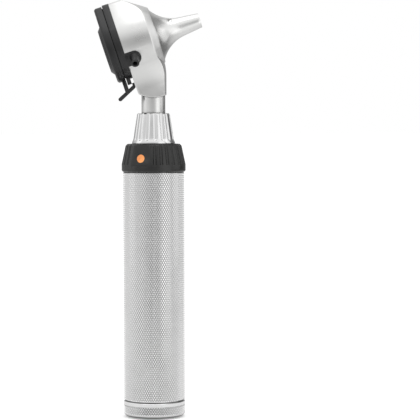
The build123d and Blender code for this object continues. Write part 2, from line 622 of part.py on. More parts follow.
with BuildPart() as rear_plate:
    with BuildSketch(sight.offset(SEAM_W)):
        add(teardrop(DISC_R + 0.15, LOBE_R + 0.15))
    extrude(amount=PLATE_W - SEAM_W)
    with BuildSketch(sight.offset(SEAM_W)):
        with Locations((PIVOT_RISE, 0)):
            Circle(PIVOT_RISE + TAB_BOTTOM)
        with Locations((-DISC_R, 0)):
            Rectangle(8, 2 * TAB_HALF, mode=Mode.INTERSECT)
    extrude(amount=TAB_FRONT_W - SEAM_W)
    add(port_tongue(PORT_HALF, TONGUE_IN_R, DISC_R + 0.1))
    add(nozzle.part)
    add(along_sight(PLATE_HOLE_R, SEAM_W, PLATE_W, [(0, 0)]), mode=Mode.SUBTRACT)
    revolve(half_profile(section, [
        (SEAM_W, SEAL_R - 0.6), (SEAM_W, SEAL_R + 0.6),
        (SEAM_W + 1.15, SEAL_R + 0.6), (SEAM_W + 1.15, SEAL_R - 0.6),
    ]), axis=sight_axis, mode=Mode.SUBTRACT)
    add(along_sight(1.22, SEAM_W, PLATE_W, pivot_spot), mode=Mode.SUBTRACT)
    with Locations(sight.offset(SEAM_W)):
        with Locations(*screw_spots):
            Cylinder(1.0, 4, align=(Align.CENTER, Align.CENTER, Align.MIN), mode=Mode.SUBTRACT)
            Cone(1.65, 1.0, 1.0, align=(Align.CENTER, Align.CENTER, Align.MIN), mode=Mode.SUBTRACT)
    with Locations(nozzle_plane):
        Cylinder(AIR_R, 30, mode=Mode.SUBTRACT)
rear_plate.part.label = "rear_plate"

with BuildPart() as window_seal:
    with Locations(sight.offset(SEAM_W + 0.53)):
        Torus(SEAL_R, SEAL_WIRE_R)
window_seal.part.label = "window_seal"

with BuildPart() as plate_screws:
    with Locations(sight.offset(SEAM_W + 0.03)):
        with Locations(*screw_spots):
            Cone(1.6, 0.95, 0.95, align=(Align.CENTER, Align.CENTER, Align.MIN))
            Cylinder(0.95, SCREW_TIP_W - SEAM_W - 0.3, align=(Align.CENTER, Align.CENTER, Align.MIN))
            Box(2.4, 0.5, 0.8, mode=Mode.SUBTRACT)
plate_screws.part.label = "plate_screws"

# ---------------------------------------------------------------- swing-aside window with its magnifier
FRAME_R = 16.6
FRAME_LOBE_R = 4.0
FRAME_FRONT_W = SEAM_W - 0.05
WINDOW_R = 9.8
LENS_R = 10.85
BEZEL_R = 12.15
BEZEL_IN_R = 9.4
GROOVE_W = -19.65  # dark groove between the plate and the window, seen all round the edge
POCKET_W = -21.62
PIVOT_HEAD_R = 2.4
PIVOT_SEAT_W = -22.2

with BuildPart() as window_frame:
    with BuildSketch(sight.offset(FRAME_W)):
        add(teardrop(FRAME_R, FRAME_LOBE_R))
    extrude(amount=GROOVE_W - FRAME_W)
    with BuildSketch(sight.offset(GROOVE_W)):
        add(teardrop(FRAME_R - 1.0, FRAME_LOBE_R - 1.0))
    extrude(amount=FRAME_FRONT_W - GROOVE_W)
    rear_rim = window_frame.faces().sort_by(sight_axis)[0].edges()
    fillet(rear_rim, 1.2)
    revolve(half_profile(section, [
        (FRAME_FRONT_W, 0), (FRAME_FRONT_W, WINDOW_R), (-20.85, WINDOW_R), (-20.85, LENS_R + SLIP),
        (-22.45, LENS_R + SLIP), (-22.45, BEZEL_R + SLIP), (FRAME_W, BEZEL_R + SLIP), (FRAME_W, 0),
    ]), axis=sight_axis, mode=Mode.SUBTRACT)
    add(along_sight(1.25, FRAME_W, FRAME_FRONT_W, pivot_spot), mode=Mode.SUBTRACT)
    add(along_sight(PIVOT_HEAD_R + 0.15, FRAME_W, PIVOT_SEAT_W, pivot_spot), mode=Mode.SUBTRACT)
    with BuildSketch(sight.offset(FRAME_FRONT_W)):  # pocket for the lever's leg
        with Locations((-13.38, 0)):
            Rectangle(6, 5.04, align=(Align.MAX, Align.CENTER))
    extrude(amount=POCKET_W - FRAME_FRONT_W, mode=Mode.SUBTRACT)
window_frame.part.label = "window_frame"

with BuildPart() as magnifier_lens:
    with BuildSketch(section):
        with BuildLine():
            front = TangentArc((-20.0, 0), (-20.9, WINDOW_R - 0.1), tangent=(0, 1))
            rear = TangentArc((-23.9, 0), (-22.4, BEZEL_IN_R - 0.1), tangent=(0, 1))
            Polyline(front @ 1, (-20.9, LENS_R), (-22.4, LENS_R), rear @ 1)
            Line(rear @ 0, front @ 0)
        make_face()
    revolve(axis=sight_axis)
magnifier_lens.part.label = "magnifier_lens"

with BuildPart() as lens_bezel:
    with BuildSketch(section):
        with BuildLine():
            crown = ThreePointArc((-24.75, 10.75), (BEZEL_W, 10.25), (-24.7, 9.8))
            Polyline(crown @ 1, (-23.7, BEZEL_IN_R), (-22.47, BEZEL_IN_R), (-22.47, BEZEL_R),
                     (FRAME_W - 0.1, BEZEL_R), crown @ 0)
        make_face()
    revolve(axis=sight_axis)
lens_bezel.part.label = "lens_bezel"

with BuildPart() as pivot_screw:
    with Locations(sight.offset(FRAME_W + 0.05)):
        with Locations(*pivot_spot):
            Cylinder(PIVOT_HEAD_R, 0.75, align=(Align.CENTER, Align.CENTER, Align.MIN))
            Cylinder(1.2, SCREW_TIP_W - FRAME_W - 0.3, align=(Align.CENTER, Align.CENTER, Align.MIN))
            Box(6, 0.6, 0.8, mode=Mode.SUBTRACT)
pivot_screw.part.label = "pivot_screw"

with BuildPart() as pivot_washer:
    with BuildSketch(sight.offset(PIVOT_SEAT_W - 0.02)):
        with Locations(*pivot_spot):
            Circle(PIVOT_HEAD_R)
            Circle(1.3, mode=Mode.SUBTRACT)
    extrude(amount=-0.24)
pivot_washer.part.label = "pivot_washer"

# ---------------------------------------------------------------- thumb lever that swings the window
LEG_HALF = 2.5
PAD_HALF = 4.0
BAR = 1.77
HOOK_W = -17.2
LEVER_FRONT_W = -16.1
bar_rear = (-25.1, -24.4)
bar_middle = (-21.05, -22.54)
pad_middle = (-23.85, -23.83)

with BuildPart() as thumb_lever:
    with BuildSketch(section):
        SlotCenterPoint(bar_middle, bar_rear, BAR)
        with Locations((-20.6, -13.4)):
            Rectangle(2.0, 8.6, align=(Align.CENTER, Align.MAX))
        with Locations((HOOK_W, -18.7)):
            Rectangle(LEVER_FRONT_W - HOOK_W, 2.4, align=(Align.MIN, Align.MAX))
    extrude(amount=LEG_HALF, both=True)
    with BuildSketch(section):
        SlotCenterPoint(pad_middle, bar_rear, BAR)
    extrude(amount=PAD_HALF, both=True)
    split(bisect_by=sight.offset(LEVER_FRONT_W), keep=Keep.BOTTOM)
thumb_lever.part.label = "thumb_lever"

# ---------------------------------------------------------------- ear cone and what is inside it
TIP_R = 3.55
TIP_BORE_R = 2.95
FLARE_W, FLARE_R = 14.5, 4.7
FLARE_END_R = 12.9
LATCH_W = 10.1
LATCH_R = 5.83
LATCH_ANGLE = 37.5

with BuildPart() as ear_cone:
    with BuildSketch(section):
        with BuildLine():
            taper = Line((TIP_W, TIP_R), (FLARE_W, FLARE_R))
            flare = TangentArc(taper @ 1, (FACE_W, FLARE_END_R), tangent=taper % 1)
            shell = Polyline(flare @ 1, (FACE_W, SPIGOT_R), (-1.2, SPIGOT_R), (-1.2, 10.8), (1.0, 10.8))
            throat = ThreePointArc(shell @ 1, (6.0, 5.9), (14.0, 3.7))
            Polyline(throat @ 1, (18.0, TIP_BORE_R), (TIP_W, TIP_BORE_R), taper @ 0)
        make_face()
    revolve(axis=sight_axis)
    with Locations(sight.offset(LATCH_W)):  # two catches for disposable ear tips
        with PolarLocations(LATCH_R, 2, start_angle=LATCH_ANGLE):
            Box(1.5, 2.7, 1.9, mode=Mode.SUBTRACT)
ear_cone.part.label = "ear_cone"

VIEW_R = 2.1
with BuildPart() as viewing_tube:
    revolve(half_profile(section, [
        (24.1, VIEW_R), (24.1, 2.45), (11.0, 2.45), (-0.2, 6.7), (-0.2, 10.75), (-1.2, 10.75),
        (-1.2, 6.55), (10.9, VIEW_R),
    ]), axis=sight_axis)
    with Locations(sight.offset(-0.7)):  # the fibres pass through the rear flange
        with Locations((-8.6, 0)):
            Box(3.2, 2.4, 2.0, mode=Mode.SUBTRACT)
viewing_tube.part.label = "viewing_tube"

with BuildPart() as fibre_ring:
    revolve(half_profile(section, [
        (13.2, 2.5), (13.2, 3.5), (14.0, 3.5), (18.0, TIP_BORE_R - GAP),
        (24.15, TIP_BORE_R - GAP), (24.15, 2.47), (18.0, 2.47),
    ]), axis=sight_axis)
fibre_ring.part.label = "fibre_ring"

BUNDLE_R = 0.5
with BuildPart() as fibre_bundle:
    with BuildLine(section) as route:
        Spline((-6.66, -20.1), (-4.2, -14.0), (-0.6, -8.9), (3.0, -6.8), (6.0, -5.15),
               (8.0, -4.27), (10.0, -3.56), (11.6, -3.15), (13.1, -3.07))
    with BuildSketch(Plane(origin=route.line @ 0, z_dir=route.line % 0)):
        Circle(BUNDLE_R)
    sweep()
fibre_bundle.part.label = "fibre_bundle"

# ---------------------------------------------------------------- one STEP file for each piece
os.makedirs("parts", exist_ok=True)
pieces = (
    handle_tube, bottom_cap, cap_retainer, charging_insert, usb_socket, status_light_pipe, charging_board,
    battery_spring, battery, board_carrier, upper_contact, driver_board, handle_collar, stop_pin,
    retaining_clip, dimmer_track, dimmer_ring, index_dot, dimmer_wiper, bayonet_nose, bayonet_pins,
    nose_nut, contact_bush, contact_plug, contact_pin, contact_spring, connector, neck_tube, lamp_module,
    lamp_contact, led, housing, rear_plate, window_seal, plate_screws, window_frame, magnifier_lens,
    lens_bezel, pivot_screw, pivot_washer, thumb_lever, ear_cone, viewing_tube, fibre_ring, fibre_bundle,
)
for piece in pieces:
    export_step(piece.part, f"parts/{piece.part.label}.step")
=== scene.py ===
import json
import math

import bpy
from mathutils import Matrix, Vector


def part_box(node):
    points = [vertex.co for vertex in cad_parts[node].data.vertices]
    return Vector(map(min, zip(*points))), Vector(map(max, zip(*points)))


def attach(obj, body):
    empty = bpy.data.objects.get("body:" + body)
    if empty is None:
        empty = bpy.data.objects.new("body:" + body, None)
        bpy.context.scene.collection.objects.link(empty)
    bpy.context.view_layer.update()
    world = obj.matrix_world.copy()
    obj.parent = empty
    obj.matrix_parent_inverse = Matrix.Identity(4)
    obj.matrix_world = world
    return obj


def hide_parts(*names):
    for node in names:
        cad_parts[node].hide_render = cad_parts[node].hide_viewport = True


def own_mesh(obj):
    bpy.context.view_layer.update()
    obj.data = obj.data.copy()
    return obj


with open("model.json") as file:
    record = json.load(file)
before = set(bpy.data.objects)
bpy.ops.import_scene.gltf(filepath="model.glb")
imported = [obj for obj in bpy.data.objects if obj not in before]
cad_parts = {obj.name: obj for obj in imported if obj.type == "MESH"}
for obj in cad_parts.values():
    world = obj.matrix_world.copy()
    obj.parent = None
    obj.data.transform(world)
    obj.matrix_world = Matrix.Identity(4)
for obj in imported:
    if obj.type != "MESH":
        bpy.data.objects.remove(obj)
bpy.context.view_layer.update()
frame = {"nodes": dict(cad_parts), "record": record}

MM = 0.001

# ---------------------------------------------------------------- the frame's own sizes
tube_low, tube_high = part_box("handle_tube")
cap_low, cap_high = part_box("bottom_cap")
TUBE_R = tube_high.x
CAP_R = cap_high.x
TUBE_KNURL_DEPTH = 0.26 * MM
CAP_KNURL_DEPTH = 0.34 * MM


def link_object(name, data):
    """New scene object from mesh, lamp or camera data."""
    obj = bpy.data.objects.new(name, data)
    bpy.context.scene.collection.objects.link(obj)
    return obj


# ================================================================ materials
def node_material(name):
    material = bpy.data.materials.new(name)
    material.use_nodes = True
    tree = material.node_tree
    shader = tree.nodes["Principled BSDF"]
    return material, tree, shader


def object_noise(tree, scale, detail=2.0, stretch=(1, 1, 1)):
    """Noise in the object's own metres; scale is in features per metre."""
    place = tree.nodes.new("ShaderNodeTexCoord")
    mapping = tree.nodes.new("ShaderNodeMapping")
    mapping.inputs["Scale"].default_value = stretch
    noise = tree.nodes.new("ShaderNodeTexNoise")
    noise.inputs["Scale"].default_value = scale
    noise.inputs["Detail"].default_value = detail
    tree.links.new(place.outputs["Object"], mapping.inputs["Vector"])
    tree.links.new(mapping.outputs["Vector"], noise.inputs["Vector"])
    return noise.outputs["Fac"]


def map_range(tree, value, low, high, from_low=0.3, from_high=0.7):
    """Turns values from from_low to from_high into low to high, clamped at both ends."""
    ramp = tree.nodes.new("ShaderNodeMapRange")
    ramp.inputs["From Min"].default_value = from_low
    ramp.inputs["From Max"].default_value = from_high
    ramp.inputs["To Min"].default_value = low
    ramp.inputs["To Max"].default_value = high
    tree.links.new(value, ramp.inputs["Value"])
    return ramp.outputs["Result"]


def math_node(tree, operation, *values):
    node = tree.nodes.new("ShaderNodeMath")
    node.operation = operation
    for slot_index, value in enumerate(values):
        if isinstance(value, (int, float)):
            node.inputs[slot_index].default_value = value
        else:
            tree.links.new(value, node.inputs[slot_index])
    return node.outputs[0]


def mix_colour(tree, fac, a, b):
    mix = tree.nodes.new("ShaderNodeMix")
    mix.data_type = "RGBA"
    tree.links.new(fac, mix.inputs["Factor"])
    for socket, colour in (("A", a), ("B", b)):
        entry = [s for s in mix.inputs if s.name == socket and s.type == "RGBA"][0]
        entry.default_value = (*colour, 1)
    return [s for s in mix.outputs if s.type == "RGBA"][0]


METAL_GRAIN_DEPTH = 0.05 * MM
PLASTIC_GRAIN_DEPTH = 0.06 * MM


def add_bump(tree, shader, height, strength, distance):
    bump = tree.nodes.new("ShaderNodeBump")
    bump.inputs["Strength"].default_value = strength
    bump.inputs["Distance"].default_value = distance
    tree.links.new(height, bump.inputs["Height"])
    tree.links.new(bump.outputs["Normal"], shader.inputs["Normal"])


def edge_wear(tree, low, high):
    """0 on flat areas, towards 1 on sharp outside edges."""
    geometry = tree.nodes.new("ShaderNodeNewGeometry")
    return map_range(tree, geometry.outputs["Pointiness"], 0, 1, low, high)


# painted shade in crevices: how far its occlusion test reaches, and the darkest share of the colour it leaves
PAINTED_SHADE_REACH = 1.1 * MM
PAINTED_SHADE_DARKEST = 0.12


def painted_crevice_shade(tree):
    """Painted shade for a colour: 1 in the open, down to its darkest share in grooves, holes and seams."""
    shade = tree.nodes.new("ShaderNodeAmbientOcclusion")
    shade.samples = 8
    shade.inputs["Distance"].default_value = PAINTED_SHADE_REACH
    return map_range(tree, shade.outputs["AO"], PAINTED_SHADE_DARKEST, 1, 0.25, 0.85)


def darkened(tree, colour, share):
    """A colour multiplied by a value."""
    scale = tree.nodes.new("ShaderNodeVectorMath")
    scale.operation = "SCALE"
    tree.links.new(colour, scale.inputs[0])
    tree.links.new(share, scale.inputs["Scale"])
    return scale.outputs["Vector"]


def metal(name, colour, rough, grain, grain_bump, stretch=(1, 1, 1), smudge=0.05):
    """Plated metal: fine grain in the bump, slow smudges in the roughness, a slight tone change, and painted
    shade darkening its colour in crevices.
    """
    material, tree, shader = node_material(name)
    shader.inputs["Metallic"].default_value = 1.0
    slow = object_noise(tree, 90, 3.0)
    duller = tuple(c * 0.9 for c in colour)
    # painted shade: the colour is darkened in grooves, holes and seams
    tone_and_painted_shade = darkened(tree, mix_colour(tree, slow, duller, colour), painted_crevice_shade(tree))
    tree.links.new(tone_and_painted_shade, shader.inputs["Base Color"])
    tree.links.new(map_range(tree, slow, rough - smudge, rough + smudge), shader.inputs["Roughness"])
    fine = object_noise(tree, grain, 2.0, stretch)
    add_bump(tree, shader, fine, grain_bump, METAL_GRAIN_DEPTH)
    return material


def plastic(name, colour, rough, grain=1800, grain_bump=0.25, worn=None, coat=0.0):
    """Moulded plastic: fine spark texture, roughness that varies, and slightly lighter edges."""
    material, tree, shader = node_material(name)
    slow = object_noise(tree, 120, 3.0)
    fine = object_noise(tree, grain, 3.0)
    light = worn or tuple(min(1, c * 1.5 + 0.01) for c in colour)
    wear = edge_wear(tree, 0.52, 0.62)
    tree.links.new(mix_colour(tree, wear, colour, light), shader.inputs["Base Color"])
    tree.links.new(map_range(tree, slow, rough - 0.07, rough + 0.07), shader.inputs["Roughness"])
    shader.inputs["Coat Weight"].default_value = coat
    add_bump(tree, shader, fine, grain_bump, PLASTIC_GRAIN_DEPTH)
    return material


def lens_glass(name):
    """Clear coated glass with a little dust in its roughness."""
    material, tree, shader = node_material(name)
    shader.inputs["Transmission Weight"].default_value = 1.0
    shader.inputs["IOR"].default_value = 1.52
    dust = object_noise(tree, 700, 4.0)
    tree.links.new(map_range(tree, dust, 0.0, 0.06, 0.55, 0.8), shader.inputs["Roughness"])
    slow = object_noise(tree, 60)
    tint = mix_colour(tree, slow, (0.94, 0.97, 0.97), (0.97, 0.99, 0.98))
    tree.links.new(tint, shader.inputs["Base Color"])
    return material


def turned_metal(name, colour, rough):
    """Lathe-turned metal: very fine rings round the vertical, seen as stretched grain."""
    return metal(name, colour, rough, grain=3200, grain_bump=0.1, stretch=(0.25, 0.25, 3.0))


def knurled_metal(name, level, rough, radius, depth, groove):
    """Plated knurl: worn, smoother tops, and rougher grooves with painted shade that leaves them only groove
    times as bright as the tops.
    """
    material, tree, shader = node_material(name)
    shader.inputs["Metallic"].default_value = 1.0
    place = tree.nodes.new("ShaderNodeTexCoord")
    flatten = tree.nodes.new("ShaderNodeVectorMath")
    flatten.operation = "MULTIPLY"
    flatten.inputs[1].default_value = (1, 1, 0)
    tree.links.new(place.outputs["Object"], flatten.inputs[0])
    reach = tree.nodes.new("ShaderNodeVectorMath")
    reach.operation = "LENGTH"
    tree.links.new(flatten.outputs["Vector"], reach.inputs[0])
    # painted shade: the colour darkens from the knurl's tops down to its groove bottoms
    height = map_range(tree, reach.outputs["Value"], groove, 1.0, radius - depth, radius - 0.25 * depth)
    slow = object_noise(tree, 90, 3.0)
    shade = math_node(tree, "MULTIPLY", height, map_range(tree, slow, level - 0.04, level))
    colour = tree.nodes.new("ShaderNodeCombineColor")
    for channel in ("Red", "Green", "Blue"):
        tree.links.new(shade, colour.inputs[channel])
    tree.links.new(colour.outputs["Color"], shader.inputs["Base Color"])
    wear = math_node(tree, "ADD", map_range(tree, slow, -0.04, 0.04),
                     map_range(tree, height, rough + 0.15, rough, groove, 1.0))
    tree.links.new(wear, shader.inputs["Roughness"])
    add_bump(tree, shader, object_noise(tree, 3000), 0.1, METAL_GRAIN_DEPTH)
    return material


MAKERS = {
    # groove: how bright the painted shade leaves the knurl's groove bottoms, as a share of the tops
    "knurled_metal": lambda n: knurled_metal(n, 0.97, 0.14, TUBE_R, TUBE_KNURL_DEPTH, groove=0.5),
    "cap_metal": lambda n: knurled_metal(n, 0.97, 0.16, CAP_R, CAP_KNURL_DEPTH, groove=0.4),
    "satin_metal": lambda n: metal(n, (0.86, 0.86, 0.85), 0.32, grain=3600, grain_bump=0.14),
    "bright_metal": lambda n: metal(n, (0.88, 0.88, 0.88), 0.12, grain=2200, grain_bump=0.03, smudge=0.03),
    "cone_metal": lambda n: metal(n, (0.88, 0.88, 0.87), 0.24, grain=3600, grain_bump=0.10),
    "black_plastic": lambda n: plastic(n, (0.009, 0.009, 0.0095), 0.33),
    "ring_plastic": lambda n: plastic(n, (0.013, 0.013, 0.0125), 0.3),
    "orange_mark": lambda n: plastic(n, (0.78, 0.27, 0.08), 0.35, grain_bump=0.05),
    "insert_plastic": lambda n: plastic(n, (0.62, 0.62, 0.63), 0.4, worn=(0.7, 0.7, 0.7)),
    "lens_glass": lens_glass,
    "seal_rubber": lambda n: plastic(n, (0.015, 0.015, 0.015), 0.7, grain=900),
    "tube_black": lambda n: plastic(n, (0.01, 0.01, 0.01), 0.75),
    "fibre": lambda n: plastic(n, (0.8, 0.82, 0.78), 0.2, grain=9000, grain_bump=0.4),
    "steel": lambda n: turned_metal(n, (0.6, 0.6, 0.6), 0.3),
    "brass_parts": lambda n: turned_metal(n, (0.75, 0.56, 0.26), 0.25),
    "board_green": lambda n: plastic(n, (0.03, 0.16, 0.08), 0.35, worn=(0.3, 0.25, 0.12), coat=0.3),
    "carrier_plastic": lambda n: plastic(n, (0.06, 0.06, 0.065), 0.5),
    "cell_wrap": lambda n: plastic(n, (0.08, 0.2, 0.42), 0.25, grain=600, grain_bump=0.1, coat=0.4),
    "light_pipe": lambda n: plastic(n, (0.7, 0.7, 0.66), 0.3),
    "led_resin": lambda n: plastic(n, (0.9, 0.75, 0.2), 0.2, grain_bump=0.05),
}
slot_of = {s["node"]: s["material_slot"] for s in frame["record"]["subparts"]}
materials = {name: make(name + "_look") for name, make in MAKERS.items()}


# ================================================================ CAD nodes: finish and soft edges
BEVEL_FROM = 35  # degrees between two faces from which their edge takes a bevel
CRISP_FROM = 32  # and from which it is shaded as an edge
# width of the small bevel on each part's sharp edges, in mm
ROUNDED = {
    "rear_plate": 0.18, "window_frame": 0.15, "lens_bezel": 0.15, "thumb_lever": 0.3, "housing": 0.15,
    "connector": 0.12, "dimmer_ring": 0.2, "neck_tube": 0.1, "ear_cone": 0.12, "index_dot": 0.1,
    "charging_insert": 0.15, "pivot_screw": 0.1, "plate_screws": 0.08,
}


def crisp_edges(obj, degrees):
    """Smooth shading that breaks at edges sharper than degrees."""
    split = obj.modifiers.new("crisp_edges", "EDGE_SPLIT")
    split.split_angle = math.radians(degrees)
    split.use_edge_sharp = False


def smooth_faces(obj):
    for face in obj.data.polygons:
        face.use_smooth = True


def finish_cad_node(name, node):
    """The node's material, a welded mesh, small bevels where ROUNDED lists them, and crisp edges."""
    node.data.materials.clear()
    node.data.materials.append(materials[slot_of[name]])
    smooth_faces(node)
    weld = node.modifiers.new("weld", "WELD")
    weld.merge_threshold = 0.002 * MM
    if name in ROUNDED:
        bevel = node.modifiers.new("soft_edges", "BEVEL")
        bevel.width = ROUNDED[name] * MM
        bevel.segments = 2
        bevel.limit_method = "ANGLE"
        bevel.angle_limit = math.radians(BEVEL_FROM)
        bevel.use_clamp_overlap = True
    crisp_edges(node, CRISP_FROM)


for node_name, cad_node in frame["nodes"].items():
    finish_cad_node(node_name, cad_node)


# ================================================================ the spring under the contact pin
# a copy of the spring with its own mesh rides on the handle in place of the CAD node
cad_spring = frame["nodes"]["contact_spring"]
spring = link_object("contact_spring_soft", cad_spring.data.copy())
spring.matrix_world = cad_spring.matrix_world
finish_cad_node("contact_spring", spring)
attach(spring, "handle")
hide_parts("contact_spring")
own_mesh(spring)


# ================================================================ knurled sleeves
KNURL_RUNOUT = 0.12 * MM  # the knurl ends in a small chamfer of this height


def knurled_sleeve(name, radius, bore, low, high, zone, starts, rows, depth, flat, below, above):
    """Closed sleeve whose outside carries a diamond knurl cut as real pyramids with small flat tops.

    The bore runs from the level low to the level high. zone is the lowest and highest level of the knurl,
    starts the number of diamonds round it and rows the number of half diamonds up it, which is even. flat is
    the share of a diamond left as its flat top. below and above are the (radius, level) points of the plain
    outline, from the knurl down and from the knurl up.
    """
    step = 2 * math.pi / starts
    zone_low, zone_high = zone
    half = (zone_high - zone_low) / rows
    points, faces = [], []

    def add(angle, z, r):
        points.append((r * math.cos(angle), r * math.sin(angle), z))
        return len(points) - 1

    deep, left, right, top, bottom = [], [], [], [], []
    for row in range(rows + 1):
        z = zone_low + row * half
        parity = row % 2
        centres = [(i + parity / 2) * step for i in range(starts)]
        deep.append([add(a + step / 2, z, radius - depth) for a in centres])
        left.append([add(a - flat * step / 2, z, radius) for a in centres])
        right.append([add(a + flat * step / 2, z, radius) for a in centres])
        top.append([add(a, z + flat * half, radius) for a in centres] if row < rows else None)
        bottom.append([add(a, z - flat * half, radius) for a in centres] if row > 0 else None)
    for row in range(rows + 1):
        parity = row % 2
        for i in range(starts):
            west, east = left[row][i], right[row][i]
            deep_west, deep_east = deep[row][i - 1], deep[row][i]
            across = (i + parity - 1) % starts  # the deep point straight above and below this diamond
            flat_top = []
            if row < rows:
                north, deep_north = top[row][i], deep[row + 1][across]
                faces.append((deep_east, deep_north, north, east))
                faces.append((deep_north, deep_west, west, north))
                flat_top = [east, north, west]
            if row > 0:
                south, deep_south = bottom[row][i], deep[row - 1][across]
                faces.append((deep_west, deep_south, south, west))
                faces.append((deep_south, deep_east, east, south))
                flat_top = flat_top + [south] if flat_top else [west, south, east]
            faces.append(tuple(flat_top))

    def knurl_edge(row):
        """The points of the knurl's end row, in order round the sleeve: gap, left, right for each diamond."""
        edge = []
        for i in range(starts):
            edge += [deep[row][i - 1], left[row][i], right[row][i]]
        return edge

    def plain_ring(z, r):
        """A ring at the same angles as the points of the knurl's end rows."""
        ring = []
        for i in range(starts):
            a = i * step
            ring += [add(a - step / 2, z, r), add(a - flat * step / 2, z, r), add(a + flat * step / 2, z, r)]
        return ring

    def bridge(lower, upper):
        """Faces between two rings, seen from outside."""
        for i in range(len(lower)):
            j = (i + 1) % len(lower)
            faces.append((lower[i], lower[j], upper[j], upper[i]))

    down = [knurl_edge(0), plain_ring(zone_low - KNURL_RUNOUT, radius - depth / 3)]
    for r, z in below + [(bore, low)]:
        down.append(plain_ring(z, r))
    for upper, lower in zip(down, down[1:]):
        bridge(lower, upper)
    up = [knurl_edge(rows), plain_ring(zone_high + KNURL_RUNOUT, radius - depth / 3)]
    for r, z in above + [(bore, high)]:
        up.append(plain_ring(z, r))
    for lower, upper in zip(up, up[1:]):
        bridge(lower, upper)
    bridge(up[-1], down[-1])  # the bore
    mesh = bpy.data.meshes.new(name)
    mesh.from_pydata(points, [], faces)
    mesh.validate()
    mesh.update()
    return link_object(name, mesh)


def finish_sleeve(sleeve, body, node, slot, crisp_angle):
    """The sleeve takes a CAD node's place on its body."""
    smooth_faces(sleeve)
    crisp_edges(sleeve, crisp_angle)
    sleeve.data.materials.append(materials[slot])
    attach(sleeve, body)
    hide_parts(node)


# ---------------------------------------------------------------- the handle's tube
TUBE_BORE_R = 13.6 * MM
TUBE_KNURL_PITCH = 1.19 * MM
TUBE_KNURL_ROW = 1.03 * MM
TUBE_FLAT = 0.42
TUBE_BAND = 0.55 * MM
TUBE_GROOVE = 0.2 * MM
TUBE_CHAMFER = 0.3 * MM

tube_starts = 2 * round(2 * math.pi * TUBE_R / TUBE_KNURL_PITCH / 2)
tube_zone = (tube_low.z + TUBE_BAND, tube_high.z - TUBE_BAND)
tube_rows = 2 * round((tube_zone[1] - tube_zone[0]) / TUBE_KNURL_ROW / 2)


def tube_end(knurl_end, tube_end_z, outward):
    """Plain band and chamfer beyond the knurl; outward is 1 at the top and -1 at the bottom."""
    return [(TUBE_R, knurl_end + outward * TUBE_GROOVE), (TUBE_R, tube_end_z - outward * TUBE_CHAMFER),
            (TUBE_R - TUBE_CHAMFER, tube_end_z)]


tube = knurled_sleeve(
    "tube_knurled", TUBE_R, TUBE_BORE_R, tube_low.z, tube_high.z, tube_zone, tube_starts, tube_rows,
    TUBE_KNURL_DEPTH, TUBE_FLAT,
    below=tube_end(tube_zone[0], tube_low.z, -1),
    above=tube_end(tube_zone[1], tube_high.z, 1),
)
finish_sleeve(tube, "handle", "handle_tube", "knurled_metal", crisp_angle=12)

# ---------------------------------------------------------------- the screw cap
CAP_HOLE_R = 7.65 * MM
CAP_FLOOR_Z = 3.0 * MM
CAP_ROUND = 1.6 * MM
CAP_ROUND_STEPS = 6
CAP_STARTS = 76
CAP_ROWS = 4
CAP_FLAT = 0.34
CAP_RIM_HEIGHT = 7.5 * MM  # from the bottom to the top of the smooth band
CAP_BAND = 2.0 * MM
CAP_CHAMFER = 0.35 * MM
CAP_CORNER_GAP = 0.15 * MM  # between the rounded corner and the knurl
CAP_CORNER_RUNOUT = 0.14 * MM  # from the knurl down to the full radius
CAP_BAND_GAP = 0.3 * MM  # between the knurl and the band's nominal start
CAP_GROOVE_DEPTH = 0.25 * MM
CAP_GROOVE_FROM, CAP_GROOVE_TO, CAP_GROOVE_END = 0.16 * MM, 0.32 * MM, 0.42 * MM  # above the knurl
SPIGOT_R = 13.55 * MM
SPIGOT_BORE_R = 11.15 * MM
SPIGOT_CHAMFER = 0.4 * MM

cap_rim_z = cap_low.z + CAP_RIM_HEIGHT
cap_knurl_low = cap_low.z + CAP_ROUND + CAP_CORNER_GAP
cap_knurl_high = cap_rim_z - CAP_BAND - CAP_BAND_GAP
cap_groove_r = CAP_R - CAP_GROOVE_DEPTH


def cap_corner():
    """Plain ring under the knurl, then the rounded bottom corner."""
    outline = [(CAP_R, cap_knurl_low - CAP_CORNER_RUNOUT)]
    for k in range(1, CAP_ROUND_STEPS + 1):
        a = math.radians(90 * k / CAP_ROUND_STEPS)
        r = CAP_R - CAP_ROUND * (1 - math.cos(a))
        outline.append((r, cap_low.z + CAP_ROUND * (1 - math.sin(a))))
    return outline


def cap_top():
    """Groove over the knurl, smooth band, the spigot that screws into the tube, and its bore."""
    groove = [(cap_groove_r, cap_knurl_high + CAP_GROOVE_FROM),
              (cap_groove_r, cap_knurl_high + CAP_GROOVE_TO)]
    band = [(CAP_R, cap_knurl_high + CAP_GROOVE_END), (CAP_R, cap_rim_z - CAP_CHAMFER),
            (CAP_R - CAP_CHAMFER, cap_rim_z)]
    spigot = [(SPIGOT_R, cap_rim_z), (SPIGOT_R, cap_high.z - SPIGOT_CHAMFER),
              (SPIGOT_R - SPIGOT_CHAMFER, cap_high.z)]
    bore = [(SPIGOT_BORE_R, cap_high.z), (SPIGOT_BORE_R, CAP_FLOOR_Z)]
    return groove + band + spigot + bore


cap = knurled_sleeve(
    "cap_knurled", CAP_R, CAP_HOLE_R, cap_low.z, CAP_FLOOR_Z, (cap_knurl_low, cap_knurl_high), CAP_STARTS,
    CAP_ROWS, CAP_KNURL_DEPTH, CAP_FLAT, below=cap_corner(), above=cap_top(),
)
finish_sleeve(cap, "cap", "bottom_cap", "cap_metal", crisp_angle=22)


# ================================================================ stage, light and camera
def light_path(tree, output):
    return tree.nodes.new("ShaderNodeLightPath").outputs[output]


